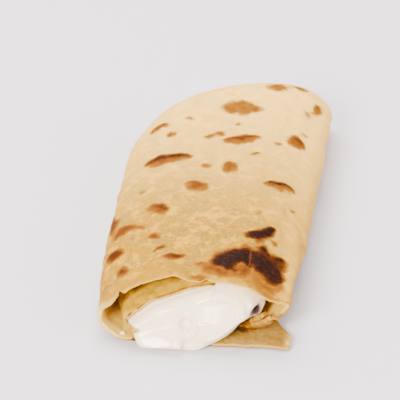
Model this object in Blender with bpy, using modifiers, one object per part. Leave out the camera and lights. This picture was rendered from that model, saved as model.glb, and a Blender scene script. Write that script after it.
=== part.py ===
"""Cut half of a rolled chapati filled with white cream, lying on a table.

One thin round sheet of baked dough is rolled into a flat spiral with the cream in its inner turn, cut across
the middle and left with its far end tucked shut. The roll lies along Y: the cut faces -Y, the tucked end is
at +Y and Z is up. Sizes are in millimetres up to the last step, which makes them metres.
"""

import math

import bmesh
import bpy
import numpy as np
from mathutils import Vector
from mathutils.geometry import interpolate_bezier

MM = 0.001

# Sheet of baked dough
SHEET_THICKNESS = 1.4
SHEET_ROWS = 17
ROW_POWER = 1.35

# The rolled sheet's middle line, from its free outer edge to the inner flap that lies on the cream.
# Each knot: x, z, heading in degrees (0 is right, 90 is up), Bezier reach behind it and ahead of it.
AT_CUT = {
    "tail": (29.6, 0.95, 178, 0, 9),
    "bottom": (-17.0, 0.7, 180, 12, 6),
    "left": (-28.4, 7.2, 90, 4.4, 6.0),
    "top": (-6.0, 20.4, 0, 10, 5),
    "crown": (8.5, 20.2, -3, 5, 7),
    "shoulder": (23.4, 15.0, -24, 5, 2.5),
    "right": (28.9, 13.7, -90, 1.5, 1.3),
    "under": (13.5, 2.6, 180, 9, 1.3),
    "pleat": (13.5, 4.6, 0, 1.3, 2),
    "hem": (18.6, 6.1, 15, 2, 1.3),
    "hem top": (18.2, 8.0, 195, 1.3, 4),
    "inner bottom": (-10.0, 2.5, 180, 8, 5.5),
    "inner left": (-20.5, 5.7, 90, 1.9, 3.0),
    "flap": (6.0, 18.1, 6, 14, 0),
}
IN_BODY = {
    "tail": (12.0, 0.7, 180, 0, 8),
    "bottom": (-15.0, 0.7, 180, 8, 9),
    "left": (-30.6, 9.6, 90, 5.2, 5.4),
    "top": (-9.0, 20.4, 0, 12, 6),
    "crown": (8.5, 20.4, 0, 6, 8),
    "shoulder": (24.2, 16.9, -34, 5, 4),
    "right": (30.3, 9.6, -90, 4.2, 6.4),
    "under": (13.5, 2.5, 180, 9, 1.3),
    "pleat": (13.5, 4.5, 0, 1.3, 1.5),
    "hem": (17.5, 4.6, 0, 1.5, 1.3),
    "hem top": (17.5, 6.6, 180, 1.3, 4),
    "inner bottom": (-14.0, 2.5, 180, 8, 7),
    "inner left": (-28.2, 9.6, 90, 3.8, 4.6),
    "flap": (6.0, 18.3, 0, 12, 0),
}
# Columns of faces between each knot and the next
LEG_COLUMNS = (7, 7, 10, 6, 6, 4, 6, 3, 3, 3, 8, 5, 8)

# How far each knot's cut edge stands behind the front edge of the lowest layer
CUT_Y = -57.5
CUT_SETBACK = {
    "tail": 0.0,
    "bottom": 0.0,
    "left": 1.8,
    "top": 5.4,
    "crown": 5.4,
    "shoulder": 4.6,
    "right": 4.4,
    "under": 8.2,
    "pleat": 8.0,
    "hem": 6.8,
    "hem top": 6.0,
    "inner bottom": 1.4,
    "inner left": 2.2,
    "flap": 6.6,
}
# Waves of the upper lip at the cut: x, rise, half width. They die out along the roll and below the top layer.
LIP_WAVES = ((-6.0, 1.0, 3.5), (0.0, -0.9, 3.0))
LIP_WAVE_LENGTH = 14.0
LIP_LOWEST, LIP_FADE = 18.6, 1.0

# The section turns from AT_CUT into IN_BODY over this length, which starts later at the right fold, above the tail
BODY_START = 34.0
RIGHT_DELAY, RIGHT_DELAY_X = 12.0, 26.0
TAIL_HEIGHT, TAIL_DELAY_SHARE = 1.0, 0.35
WIDENING = 3.4
WIDENING_START_Y = -20.0

# Tucked end: the seam's outline seen from above, and the pillow of pressed layers that closes it
FAR_Y = 81.6
FAR_X = 20.0
LEFT_LIMIT, RIGHT_LIMIT = -32.0, 35.4
LEFT_CORNER, RIGHT_CORNER = 52.0, 17.0
LEFT_SQUARENESS, RIGHT_SQUARENESS = 2.0, 3.6
END_ROUNDING = 17.0
SEAM_HEIGHT = 7.0
SHEET_END = 0.9
TUCK_START, TUCK_END = 0.84, 0.9995
TUCK_ROWS = 10
TUCK_COLUMNS = (8, 9, 5, 5, 4, 7, 6)
TUCK_FOOT = (16.0, 0.7, 180, 9, 6)
TUCK_PROUD_START, TUCK_PROUD = 0.1, 0.8

# Cream
CREAM_GAP = 0.55
CREAM_END = 0.8
CREAM_ROWS = 10
CREAM_ROOF_COLUMNS, CREAM_SIDE_COLUMNS = 6, 5
CREAM_RIGHT_REACH = 3.4

# Cream's face at the cut. It leans back: its rim's setback low down, high up and at the right
FACE_CENTRE = (1.5, -57.6, 9.6)
FACE_RINGS = 5
FACE_BULGE = 0.7
FACE_SOFTENING = 4
RIM_LOW, RIM_HIGH, RIM_RIGHT = 1.9, 5.2, 6.4
RIM_LEAN_START, RIM_LEAN_SPAN = 5.0, 12.0
RIM_RIGHT_START, RIM_RIGHT_SPAN = 8.0, 8.0

# Apron: the cream that slumps over the lowest layer's front edge, on to the table or over that layer
APRON_TOP = 9.0
APRON_LEFT, APRON_LEFT_FADE = -18.5, 3.0
APRON_RIGHT, APRON_RIGHT_FADE = 16.0, 2.5
# Its brow: x, y, z, and how far behind it the cream comes down from the mouth
APRON_BROW = (
    (-17.0, -60.9, 1.15, 3.0),
    (1.0, -61.3, 1.15, 3.4),
    (3.2, -60.5, 1.3, 2.6),
    (4.4, -59.8, 3.3, 1.9),
    (7.2, -58.2, 3.4, 1.7),
    (11.2, -55.6, 4.4, 1.8),
    (14.0, -54.2, 6.6, 1.2),
    (16.8, -53.2, 8.3, 0.8),
)
APRON_FOOT_SHARE = 0.8
APRON_LIFT, APRON_BROW_LIFT = 0.3, 1.1


def smooth(t):
    t = np.clip(t, 0.0, 1.0)
    return t * t * (3 - 2 * t)


def mix(a, b, t):
    return a + (b - a) * t


def heading(degrees):
    return Vector((math.cos(math.radians(degrees)), math.sin(math.radians(degrees)), 0))


def even_bezier(start, toward, arrive, end, count):
    """count + 1 points, evenly spaced along one Bezier leg."""
    fine = np.array([p[:2] for p in interpolate_bezier(start, toward, arrive, end, 65)])
    run = np.concatenate([[0], np.cumsum(np.linalg.norm(np.diff(fine, axis=0), axis=1))])
    goals = np.linspace(0, run[-1], count + 1)
    return np.column_stack([np.interp(goals, run, fine[:, 0]), np.interp(goals, run, fine[:, 1])])


def leg(knots, first, second, count):
    x0, z0, turn0, _, ahead = knots[first]
    x1, z1, turn1, behind, _ = knots[second]
    start, end = Vector((x0, z0, 0)), Vector((x1, z1, 0))
    return even_bezier(start, start + heading(turn0) * ahead, end - heading(turn1) * behind, end, count)


def middle_line(knots):
    names = list(knots)
    legs = [leg(knots, a, b, n)[:-1] for a, b, n in zip(names, names[1:], LEG_COLUMNS)]
    last = knots[names[-1]][:2]
    return np.concatenate([*legs, [last]])


def knot_column(name):
    """The column at which a knot lies."""
    return sum(LEG_COLUMNS[: list(AT_CUT).index(name)])


def setbacks():
    stands = list(CUT_SETBACK.values())
    legs = [mix(a, b, smooth(np.arange(n) / n)) for a, b, n in zip(stands, stands[1:], LEG_COLUMNS)]
    return np.concatenate([*legs, [stands[-1]]])


def beside(line, distance):
    """A line's points moved to the right of its heading, which is the inside of the roll."""
    run = np.gradient(line, axis=0)
    run /= np.linalg.norm(run, axis=1)[:, None]
    return line + distance * np.column_stack([run[:, 1], -run[:, 0]])


def far_edge(x):
    """The Y of the tucked end's seam: a superelliptic corner on each side."""
    corner = np.where(x > FAR_X, RIGHT_CORNER, LEFT_CORNER)
    side = np.where(x > FAR_X, RIGHT_LIMIT - FAR_X, FAR_X - LEFT_LIMIT)
    power = np.where(x > FAR_X, RIGHT_SQUARENESS, LEFT_SQUARENESS)
    t = np.clip(np.abs(x - FAR_X) / side, 0, 1)
    return FAR_Y - corner * (1 - (1 - t**power) ** (1 / power))


def widened(x, y):
    t = np.clip((y - WIDENING_START_Y) / (FAR_Y - WIDENING_START_Y), 0, 1)
    return x + WIDENING * t * (x - LEFT_LIMIT) / (RIGHT_LIMIT - LEFT_LIMIT)


def lip_wave(x, y, z):
    near_cut = smooth(1 - (y - CUT_Y - CUT_SETBACK["top"]) / LIP_WAVE_LENGTH)
    in_top_layer = smooth((z - LIP_LOWEST) / LIP_FADE)
    wave = sum(rise * np.exp(-(((x - at) / half) ** 2)) for at, rise, half in LIP_WAVES)
    return wave * near_cut * in_top_layer


def laid(at_cut, in_body, setback, fraction):
    """Points of the roll, in mm: fraction runs from 0 at the cut to 1 at the tucked end's seam."""
    y_far = far_edge(widened(in_body[:, 0], FAR_Y))
    y = mix(CUT_Y + setback, y_far, fraction)
    delay = RIGHT_DELAY * smooth(at_cut[:, 0] / RIGHT_DELAY_X)
    delay = delay * mix(TAIL_DELAY_SHARE, 1.0, smooth(at_cut[:, 1] - TAIL_HEIGHT))
    body = smooth((y - CUT_Y - delay) / BODY_START)
    x = mix(at_cut[:, 0], in_body[:, 0], body)
    z = mix(at_cut[:, 1], in_body[:, 1], body)
    z = z + lip_wave(x, y, z)
    left_to_end = np.clip((y_far - y) / END_ROUNDING, 0, 1)
    z = mix(SEAM_HEIGHT, z, np.sqrt(1 - (1 - left_to_end) ** 2))
    return np.column_stack([widened(x, y), y, z])


def new_object(name, mesh, collection):
    obj = bpy.data.objects.new(name, mesh)
    collection.objects.link(obj)
    return obj


def row_fractions(end, rows):
    """Rows lie closer near the cut."""
    return [end * (j / rows) ** ROW_POWER for j in range(rows + 1)]


def rolled_sheet(collection):
    """A flat grid laid along the spiral and given the sheet's thickness."""
    cut, body, setback = middle_line(AT_CUT), middle_line(IN_BODY), setbacks()
    rows = [laid(cut, body, setback, f) for f in row_fractions(SHEET_END, SHEET_ROWS)]
    bm = bmesh.new()
    bmesh.ops.create_grid(bm, x_segments=len(cut) - 1, y_segments=SHEET_ROWS, size=1)
    for vert in bm.verts:
        column = round((vert.co.x + 1) / 2 * (len(cut) - 1))
        row = round((vert.co.y + 1) / 2 * SHEET_ROWS)
        vert.co = Vector(rows[row][column])
    mesh = bpy.data.meshes.new("chapati")
    bm.to_mesh(mesh)
    bm.free()
    sheet = new_object("chapati", mesh, collection)
    wall = sheet.modifiers.new("Thickness", "SOLIDIFY")
    wall.thickness = SHEET_THICKNESS
    wall.offset = 0
    return sheet


def loft(name, rings, collection, tip=None, softened=0):
    """A closed body through rings of points: the first ring is capped, the last meets at tip or is capped.

    The last rings, as many as softened says, are smoothed together with the tip.
    """
    bm = bmesh.new()
    loops = [[bm.verts.new(p) for p in ring] for ring in rings]
    for near, far in zip(loops, loops[1:]):
        for i in range(len(near)):
            k = (i + 1) % len(near)
            bm.faces.new((near[i], near[k], far[k], far[i]))
    bm.faces.new(loops[0])
    if tip is None:
        bm.faces.new(loops[-1])
    else:
        point = bm.verts.new(tip)
        for i, vert in enumerate(loops[-1]):
            bm.faces.new((vert, loops[-1][(i + 1) % len(loops[-1])], point))
        soft = [vert for loop in loops[len(loops) - softened :] for vert in loop] + [point]
        for _ in range(FACE_SOFTENING):
            bmesh.ops.smooth_vert(bm, verts=soft, factor=0.5, use_axis_x=True, use_axis_y=True, use_axis_z=True)
    bmesh.ops.recalc_face_normals(bm, faces=bm.faces)
    bmesh.ops.triangulate(bm, faces=[f for f in bm.faces if len(f.verts) > 4])
    mesh = bpy.data.meshes.new(name)
    bm.to_mesh(mesh)
    bm.free()
    return new_object(name, mesh, collection)


def tucked_end(collection):
    """The pressed layers at the far end: one pillow that starts inside the outer wrap and closes past it."""
    knots = {name: IN_BODY[name] for name in ("bottom", "left", "top", "crown", "shoulder", "right")}
    knots["foot"] = TUCK_FOOT
    names = [*knots, "bottom"]
    legs = [leg(knots, a, b, n)[:-1] for a, b, n in zip(names, names[1:], TUCK_COLUMNS)]
    outline = np.concatenate(legs)
    rings = []
    for j in range(TUCK_ROWS + 1):
        t = j / TUCK_ROWS
        fraction = min(mix(TUCK_START, 1.0, t * (1.6 - 0.6 * t)), TUCK_END)
        out = smooth((fraction - TUCK_START) / (SHEET_END - TUCK_START))
        ring = outline_beside(outline, -mix(TUCK_PROUD_START, TUCK_PROUD, out))
        rings.append(laid(ring, ring, 0.0, fraction))
    return loft("tucked_end", rings, collection)


def outline_beside(outline, distance):
    """beside() for a closed outline."""
    wrapped = np.concatenate([outline[-2:], outline, outline[:2]])
    return beside(wrapped, distance)[2:-2]


def cream_outline(knots):
    """The closed outline of the space for the cream, clear of every layer round it."""
    line = beside(middle_line(knots), SHEET_THICKNESS / 2 + CREAM_GAP)
    inner = line[knot_column("hem top") : knot_column("flap") + 1]
    crown = knot_column("crown")
    roof = line[crown : crown + CREAM_ROOF_COLUMNS]
    down_right, left = Vector((*(roof[-1] - roof[-2]), 0)), Vector((*(inner[1] - inner[0]), 0))
    start, end = Vector((*roof[-1], 0)), Vector((*inner[0], 0))
    side = even_bezier(
        start,
        start + down_right.normalized() * CREAM_RIGHT_REACH,
        end - left.normalized() * CREAM_RIGHT_REACH,
        end,
        CREAM_SIDE_COLUMNS,
    )
    return np.concatenate([inner, roof, side[1:-1]])


def apron_rings(mouth, x, apron):
    """From the mouth's rim out past the lowest layer's edge, down, and forward on to what lies below."""
    line = np.array(APRON_BROW).T
    brow_y, brow_z, reach = (np.interp(x, line[0], values) for values in line[1:])
    out, hung = mouth.copy(), mouth.copy()
    out[:, 1] = mix(mouth[:, 1] - 0.5, brow_y + reach, smooth(4 * apron))
    hung[:, 1] = out[:, 1]
    hung[:, 2] = mix(out[:, 2], brow_z - APRON_BROW_LIFT + APRON_LIFT, apron)
    foot = hung.copy()
    foot[:, 1] -= apron * reach * APRON_FOOT_SHARE
    foot[:, 2] = mix(hung[:, 2], brow_z - APRON_BROW_LIFT, apron)
    brow = foot.copy()
    brow[:, 1] -= apron * reach * (1 - APRON_FOOT_SHARE)
    brow[:, 2] += apron * APRON_BROW_LIFT
    return [out, hung, foot, brow]


def filling(collection):
    cut, body = cream_outline(AT_CUT), cream_outline(IN_BODY)
    x, z = cut[:, 0], cut[:, 1]
    low = smooth((APRON_TOP - z) / APRON_LEFT_FADE)
    apron = low * smooth((x - APRON_LEFT) / APRON_LEFT_FADE) * smooth((APRON_RIGHT - x) / APRON_RIGHT_FADE)
    rim = mix(RIM_LOW, RIM_HIGH, smooth((z - RIM_LEAN_START) / RIM_LEAN_SPAN))
    rim = mix(rim, RIM_RIGHT, low * smooth((x - RIM_RIGHT_START) / RIM_RIGHT_SPAN))
    rings = [laid(cut, body, rim, f) for f in reversed(row_fractions(CREAM_END, CREAM_ROWS))]
    rings += apron_rings(rings[-1], x, apron)
    brow, centre = rings[-1], np.array(FACE_CENTRE)
    for j in range(1, FACE_RINGS):
        t = j / FACE_RINGS
        ring = mix(brow, centre, t)
        ring[:, 1] -= FACE_BULGE * math.sin(math.pi * t)
        rings.append(ring)
    return loft("filling", rings, collection, tip=FACE_CENTRE, softened=FACE_RINGS)


def apply_modifiers(obj):
    graph = bpy.context.evaluated_depsgraph_get()
    mesh = bpy.data.meshes.new_from_object(obj.evaluated_get(graph))
    mesh.name = obj.name
    obj.modifiers.clear()
    obj.data = mesh


def join_end(sheet, end):
    """Fuses the tucked end to the rolled sheet, so that the chapati is one solid."""
    union = sheet.modifiers.new("Tucked end", "BOOLEAN")
    union.operation = "UNION"
    union.solver = "EXACT"
    union.object = end
    apply_modifiers(sheet)
    bpy.data.objects.remove(end)


def stand_at_origin(objects):
    """Metres, with the origin at the middle of the whole box's underside."""
    corners = np.array([v.co[:] for obj in objects for v in obj.data.vertices])
    low, high = corners.min(axis=0), corners.max(axis=0)
    base = Vector(((low[0] + high[0]) / 2, (low[1] + high[1]) / 2, low[2]))
    for obj in objects:
        for vert in obj.data.vertices:
            vert.co = (vert.co - base) * MM


def material(name, colour, roughness, subsurface):
    made = bpy.data.materials.new(name)
    made.use_nodes = True
    surface = made.node_tree.nodes["Principled BSDF"]
    surface.inputs["Base Color"].default_value = (*colour, 1)
    surface.inputs["Roughness"].default_value = roughness
    surface.inputs["Subsurface Weight"].default_value = subsurface
    return made


def finish(obj, surface):
    obj.data.materials.clear()
    obj.data.materials.append(surface)
    obj.data.shade_smooth()
    obj.data.set_sharp_from_angle(angle=math.radians(50))


def main():
    for obj in list(bpy.data.objects):
        bpy.data.objects.remove(obj, do_unlink=True)
    collection = bpy.data.collections.new("filled_chapati")
    bpy.context.scene.collection.children.link(collection)
    sheet = rolled_sheet(collection)
    join_end(sheet, tucked_end(collection))
    cream = filling(collection)
    stand_at_origin([sheet, cream])
    finish(sheet, material("baked dough", (0.80, 0.60, 0.33), 0.7, 0.0))
    finish(cream, material("white cream", (0.90, 0.86, 0.80), 0.35, 0.2))


main()
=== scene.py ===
import math
import bpy
import numpy as np
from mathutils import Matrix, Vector, noise
from mathutils.geometry import interpolate_bezier


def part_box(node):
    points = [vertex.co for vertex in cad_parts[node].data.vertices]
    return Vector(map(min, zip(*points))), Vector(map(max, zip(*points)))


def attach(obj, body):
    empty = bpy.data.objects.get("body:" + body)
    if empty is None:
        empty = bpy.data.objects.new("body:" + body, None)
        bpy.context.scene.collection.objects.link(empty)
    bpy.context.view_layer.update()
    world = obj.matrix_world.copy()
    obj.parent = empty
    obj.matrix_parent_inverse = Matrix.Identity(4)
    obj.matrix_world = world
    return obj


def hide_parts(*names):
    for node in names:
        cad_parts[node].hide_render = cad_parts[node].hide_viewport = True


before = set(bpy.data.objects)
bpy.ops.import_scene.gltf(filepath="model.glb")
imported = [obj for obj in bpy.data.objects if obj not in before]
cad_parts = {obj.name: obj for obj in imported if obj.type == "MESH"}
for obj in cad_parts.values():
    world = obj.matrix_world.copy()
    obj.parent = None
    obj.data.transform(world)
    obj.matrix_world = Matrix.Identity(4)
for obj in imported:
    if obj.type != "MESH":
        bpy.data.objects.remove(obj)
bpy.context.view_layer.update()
bpy.ops.object.select_all(action="DESELECT")
mm = 0.001


def smooth(t):
    t = np.clip(t, 0, 1)
    return t * t * (3 - 2 * t)


def mix(a, b, t):
    return a + (b - a) * t


def hill(distance):
    return np.exp(-(distance**2))


def cloud(points, grain, seed, octaves=3):
    # smooth seeded noise, about -1 to 1, with grains of this many mm
    places = points / np.asarray(grain) + np.array([17.3, 5.1, 9.7]) * seed
    return np.array([noise.fractal(Vector(p), 1.0, 2.0, octaves) for p in places])


def cloudAlong(run, grain, seed):
    return cloud(np.column_stack([run, np.zeros((len(run), 2))]), grain, seed)


def lengthOf(line):
    return np.linalg.norm(np.diff(line, axis=0), axis=1).sum()


def runAlong(line):
    # how far along the line each of its points lies
    return np.concatenate([[0], np.cumsum(np.linalg.norm(np.diff(line, axis=0), axis=1))])


def evenPoints(line, count):
    run = runAlong(line)
    goals = np.linspace(0, run[-1], count)
    return np.column_stack([np.interp(goals, run, values) for values in np.transpose(line)])


def growingSteps(length, step, growth, widestAt):
    # distances from 0 to the length or a little more, close together at first
    distances = [0.0]
    while distances[-1] < length:
        distances.append(distances[-1] + step)
        step = min(step * growth, widestAt(distances[-1]))
    return np.array(distances)


def activate(obj, *others):
    bpy.ops.object.select_all(action="DESELECT")
    for one in (obj, *others):
        one.select_set(True)
    bpy.context.view_layer.objects.active = obj


def applyModifiers(obj):
    activate(obj)
    for modifier in list(obj.modifiers):
        bpy.ops.object.modifier_apply(modifier=modifier.name)


def readAll(items, name, width):
    flat = np.empty(len(items) * width, np.float32)
    items.foreach_get(name, flat)
    return flat.reshape(-1, width).astype(float)


def pointsOf(obj):
    return readAll(obj.data.vertices, "co", 3)


def normalsOf(obj):
    return readAll(obj.data.vertex_normals, "vector", 3)


def getAttribute(obj, name):
    return readAll(obj.data.attributes[name].data, "value", 1)[:, 0]


def setAttributes(obj, fields):
    # each field is one value for the whole piece or one for each point
    for name, values in fields.items():
        layer = obj.data.attributes.get(name) or obj.data.attributes.new(name, "FLOAT", "POINT")
        each = np.empty(len(obj.data.vertices), np.float32)
        each[:] = values
        layer.data.foreach_set("value", each)


def movePoints(obj, points):
    obj.data.vertices.foreach_set("co", np.asarray(points, np.float32).ravel())
    obj.data.update()


def gridPiece(name, rows):
    # a primitive grid laid on the given rows of points, in mm
    last = np.array((len(rows[0]) - 1, len(rows) - 1))
    bpy.ops.mesh.primitive_grid_add(x_subdivisions=int(last[0]), y_subdivisions=int(last[1]), size=2)
    piece = bpy.context.active_object
    piece.name = name
    column, row = np.rint((pointsOf(piece)[:, :2] + 1) / 2 * last).astype(int).T
    movePoints(piece, np.array(rows)[row, column])
    return piece, row, column


def sealPiece(piece):
    # merges what meets, such as a ring's ends and a pole, and turns all faces outwards
    activate(piece)
    bpy.ops.object.mode_set(mode="EDIT")
    bpy.ops.mesh.select_all(action="SELECT")
    bpy.ops.mesh.remove_doubles(threshold=1e-4)
    bpy.ops.mesh.normals_make_consistent(inside=False)
    bpy.ops.object.mode_set(mode="OBJECT")


view = {
    "azimuth": 6.0,
    "elevation": 32.0,
    "distance": 860.0,  # mm from the point it is aimed at
    "lens": 243.0,
    "sensor": 36.0,
    "aim": (-1.5, -10.34, 12),
    "shift": (-0.03, 0.03),
}


def makeCamera():
    side, up = math.radians(view["azimuth"]), math.radians(view["elevation"])
    back = Vector((math.sin(side) * math.cos(up), -math.cos(side) * math.cos(up), math.sin(up)))
    bpy.ops.object.camera_add(location=(Vector(view["aim"]) + back * view["distance"]) * mm)
    camera = bpy.context.active_object
    camera.rotation_euler = (-back).to_track_quat("-Z", "Y").to_euler()
    camera.data.lens = view["lens"]
    camera.data.sensor_width = view["sensor"]
    camera.data.shift_x, camera.data.shift_y = view["shift"]
    camera.data.clip_start, camera.data.clip_end = 0.01, 20
    bpy.context.scene.camera = camera


studio = {
    "floorSize": 8.0,
    "floorColour": "c9c1c5",
    "floorRoughness": 0.6,
    "worldColour": "f4f3f8",
    "worldStrength": 1.2,
    # name: place in metres, size, watts, colour
    "lights": {
        "overheadSoftbox": ((-0.1, 0.5, 1.05), 0.8, 34, "fffdfa"),
        "keySoftbox": ((-0.7, 0.6, 0.7), 0.5, 12, "fffaf4"),
        "frontFill": ((-0.4, -1.05, 0.65), 0.4, 50, "fffdfb"),
        "rightFill": ((0.95, -0.25, 0.55), 0.5, 12, "fffdfb"),
    },
}


def linear(hexColour):
    channels = [int(hexColour[i : i + 2], 16) / 255 for i in (0, 2, 4)]
    return (*[c / 12.92 if c <= 0.04045 else ((c + 0.055) / 1.055) ** 2.4 for c in channels], 1)


def setNode(tree, node, settings):
    # a setting is a property or an input of the node: a number, a hex colour or a socket to link to it
    for name, value in settings.items():
        if isinstance(name, str) and hasattr(node, name):
            setattr(node, name, value)
        elif isinstance(value, bpy.types.NodeSocket):
            tree.links.new(value, node.inputs[name])
        else:
            node.inputs[name].default_value = linear(value) if isinstance(value, str) else value
    return node


def addNode(tree, kind, settings, output=0):
    return setNode(tree, tree.nodes.new("ShaderNode" + kind), settings).outputs[output]


def newMaterial(name, settings):
    made = bpy.data.materials.new(name)
    made.use_nodes = True
    setNode(made.node_tree, made.node_tree.nodes["Principled BSDF"], settings)
    return made


def makeStudio():
    world = bpy.data.worlds.new("paleStudio")
    world.use_nodes = True
    backdrop = {"Color": studio["worldColour"], "Strength": studio["worldStrength"]}
    setNode(world.node_tree, world.node_tree.nodes["Background"], backdrop)
    bpy.context.scene.world = world
    for name, (place, size, watts, colour) in studio["lights"].items():
        bpy.ops.object.light_add(type="AREA", location=place)
        lamp = bpy.context.active_object
        lamp.name = name
        lamp.rotation_euler = (-Vector(place)).to_track_quat("-Z", "Y").to_euler()
        lamp.data.size = size
        lamp.data.energy = watts
        lamp.data.color = linear(colour)[:3]
    bpy.ops.mesh.primitive_plane_add(size=studio["floorSize"])
    floor = bpy.context.active_object
    floor.name = "studioFloor"
    board = {"Base Color": studio["floorColour"], "Roughness": studio["floorRoughness"]}
    floor.data.materials.append(newMaterial("matte painted board", board))


makeCamera()
makeStudio()
print("camera, lights and floor made")

# The rolled sheet in its own frame, in mm: the cut faces -Y, x is right and z is up
roll = {
    "thickness": 1.4,
    "cutY": -57.5,
    "cutPlay": 0.03,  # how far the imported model's cut edge stands before cutY
    "middleX": 1.5,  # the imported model's middle in the roll's own x
    "bodyStart": 34,  # the section turns from atCut into inBody over this length
    "rightDelay": 12,
    "rightDelayX": 26,
    "tailHeight": 1,  # the lowest layer starts sooner
    "tailDelayShare": 0.35,
    "widening": 3.4,
    "wideningStartY": -20,
    "farY": 81.6,
    "farX": 20,
    "leftLimit": -32,
    "rightLimit": 34.5,
    "leftCorner": (52, 52, 2),  # width, depth and squareness of the seam's corner
    "rightCorner": (14.5, 17, 3),
    "endRounding": 17,
    "seamHeight": 7,
    "lipWaves": ((-6, 1, 3.5), (0, -0.9, 3)),  # x, rise, half width
    "lipWaveLength": 14,
    "lipLowest": 18.6,
}
rollLength = roll["farY"] - roll["cutY"]
# Knots of the sheet's middle line, at the cut and in the body: x, z, heading in degrees, Bezier reach behind
# and ahead. Then the cut edge's distance behind cutY, and the rim's share of the thickness.
knots = {
    "tail": ((29.6, 0.95, 178, 0, 9), (12, 0.7, 180, 0, 8), 0, 0.6),
    "bottom": ((-17, 0.7, 180, 12, 6), (-15, 0.7, 180, 8, 9), 0, 0.7),
    "left": ((-28.4, 7.2, 90, 4.4, 6), (-30.6, 9.6, 90, 5.2, 5.4), 1.8, 0.9),
    "top": ((-6, 20.4, 0, 10, 5), (-9, 20.4, 0, 12, 6), 5.4, 0.42),
    "crown": ((8.5, 20.2, -3, 5, 7), (8.5, 20.4, 0, 6, 8), 5.4, 0.5),
    "shoulder": ((23.4, 15, -24, 5, 2.5), (24.2, 16.9, -34, 5, 4), 4.6, 0.5),
    "right": ((28.9, 13.7, -90, 1.5, 1.3), (30.3, 9.6, -90, 4.2, 6.4), 4.4, 0.7),
    "under": ((13.5, 2.6, 180, 9, 1.3), (13.5, 2.5, 180, 9, 1.3), 8.2, 0.5),
    "pleat": ((13.5, 4.6, 0, 1.3, 2), (13.5, 4.5, 0, 1.3, 1.5), 8, 0.5),
    "hem": ((18.6, 6.1, 15, 2, 1.3), (17.5, 4.6, 0, 1.5, 1.3), 6.8, 0.4),
    "hemTop": ((18.2, 8, 195, 1.3, 4), (17.5, 6.6, 180, 1.3, 4), 6, 0.5),
    "innerBottom": ((-10, 2.5, 180, 8, 5.5), (-14, 2.5, 180, 8, 7), 1.4, 0.6),
    "innerLeft": ((-20.5, 5.7, 90, 1.9, 3), (-28.2, 9.6, 90, 3.8, 4.6), 2.2, 0.8),
    "flap": ((6, 18.1, 6, 14, 0), (6, 18.3, 0, 12, 0), 6.6, 0.3),
}
knotNames = list(knots)
atCut, inBody, cutSetback, rimShare = ({name: knot[n] for name, knot in knots.items()} for n in range(4))


def heading(degrees):
    return Vector((math.cos(math.radians(degrees)), math.sin(math.radians(degrees)), 0))


def bezierPoints(start, toward, arrive, end, cells):
    finePoints = interpolate_bezier(start, toward, arrive, end, 129)
    return evenPoints(np.array([p[:2] for p in finePoints]), cells + 1)


def legPoints(line, first, second, cells):
    x0, z0, turn0, _, ahead = line[first]
    x1, z1, turn1, behind, _ = line[second]
    start, end = Vector((x0, z0, 0)), Vector((x1, z1, 0))
    return bezierPoints(start, start + heading(turn0) * ahead, end - heading(turn1) * behind, end, cells)


def legLength(line, first, second):
    return lengthOf(legPoints(line, first, second, 32))


def legCells(spacing, innerSpacing):
    # cells between knots, for columns about this far apart on the outer and the inner turn
    cells = []
    for a, b in zip(knotNames, knotNames[1:]):
        length = (legLength(atCut, a, b) + legLength(inBody, a, b)) / 2
        outer = knotNames.index(a) < knotNames.index("under")
        cells.append(max(4, round(length / (spacing if outer else innerSpacing))))
    return cells


def middleLine(line, cells, names=knotNames):
    legs = [legPoints(line, a, b, n)[:-1] for a, b, n in zip(names, names[1:], cells)]
    return np.concatenate([*legs, [line[names[-1]][:2]]])


def knotColumn(name, cells):
    return sum(cells[: knotNames.index(name)])


def knotLine(values, cells):
    # a value for each column, from one for each knot
    values = list(values)
    legs = [mix(a, b, smooth(np.arange(n) / n)) for a, b, n in zip(values, values[1:], cells)]
    return np.concatenate([*legs, [values[-1]]])


def beside(line, distance):
    # a line moved to the right of its heading, which is the inside of the roll
    run = np.gradient(line, axis=0)
    run /= np.linalg.norm(run, axis=1)[:, None]
    return line + distance * np.column_stack([run[:, 1], -run[:, 0]])


def farEdge(x):
    # y of the tucked end's seam: one superelliptic corner on each side
    onRight = x > roll["farX"]
    values = zip(roll["leftCorner"], roll["rightCorner"])
    side, depth, power = (np.where(onRight, right, left) for left, right in values)
    t = np.clip(np.abs(x - roll["farX"]) / side, 0, 1)
    return roll["farY"] - depth * (1 - (1 - t**power) ** (1 / power))


def widened(x, y):
    t = np.clip((y - roll["wideningStartY"]) / (roll["farY"] - roll["wideningStartY"]), 0, 1)
    return x + roll["widening"] * t * (x - roll["leftLimit"]) / (roll["rightLimit"] - roll["leftLimit"])


def lipWave(x, y, z):
    nearCut = smooth(1 - (y - roll["cutY"] - cutSetback["top"]) / roll["lipWaveLength"])
    wave = sum(rise * hill((x - at) / half) for at, rise, half in roll["lipWaves"])
    return wave * nearCut * smooth(z - roll["lipLowest"])


def laid(lineAtCut, lineInBody, setback, fraction):
    # one row of the roll's points: fraction runs from 0 at the cut to 1 at the tucked end's seam
    farY = farEdge(widened(lineInBody[:, 0], roll["farY"]))
    y = mix(roll["cutY"] + setback, farY, fraction)
    delay = roll["rightDelay"] * smooth(lineAtCut[:, 0] / roll["rightDelayX"])
    delay = delay * mix(roll["tailDelayShare"], 1, smooth(lineAtCut[:, 1] - roll["tailHeight"]))
    body = smooth((y - roll["cutY"] - delay) / roll["bodyStart"])
    x = mix(lineAtCut[:, 0], lineInBody[:, 0], body)
    z = mix(lineAtCut[:, 1], lineInBody[:, 1], body)
    z = z + lipWave(x, y, z)
    leftToEnd = np.clip((farY - y) / roll["endRounding"], 0, 1)
    z = mix(roll["seamHeight"], z, np.sqrt(1 - (1 - leftToEnd) ** 2))
    return np.column_stack([widened(x, y), y, z])


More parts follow.
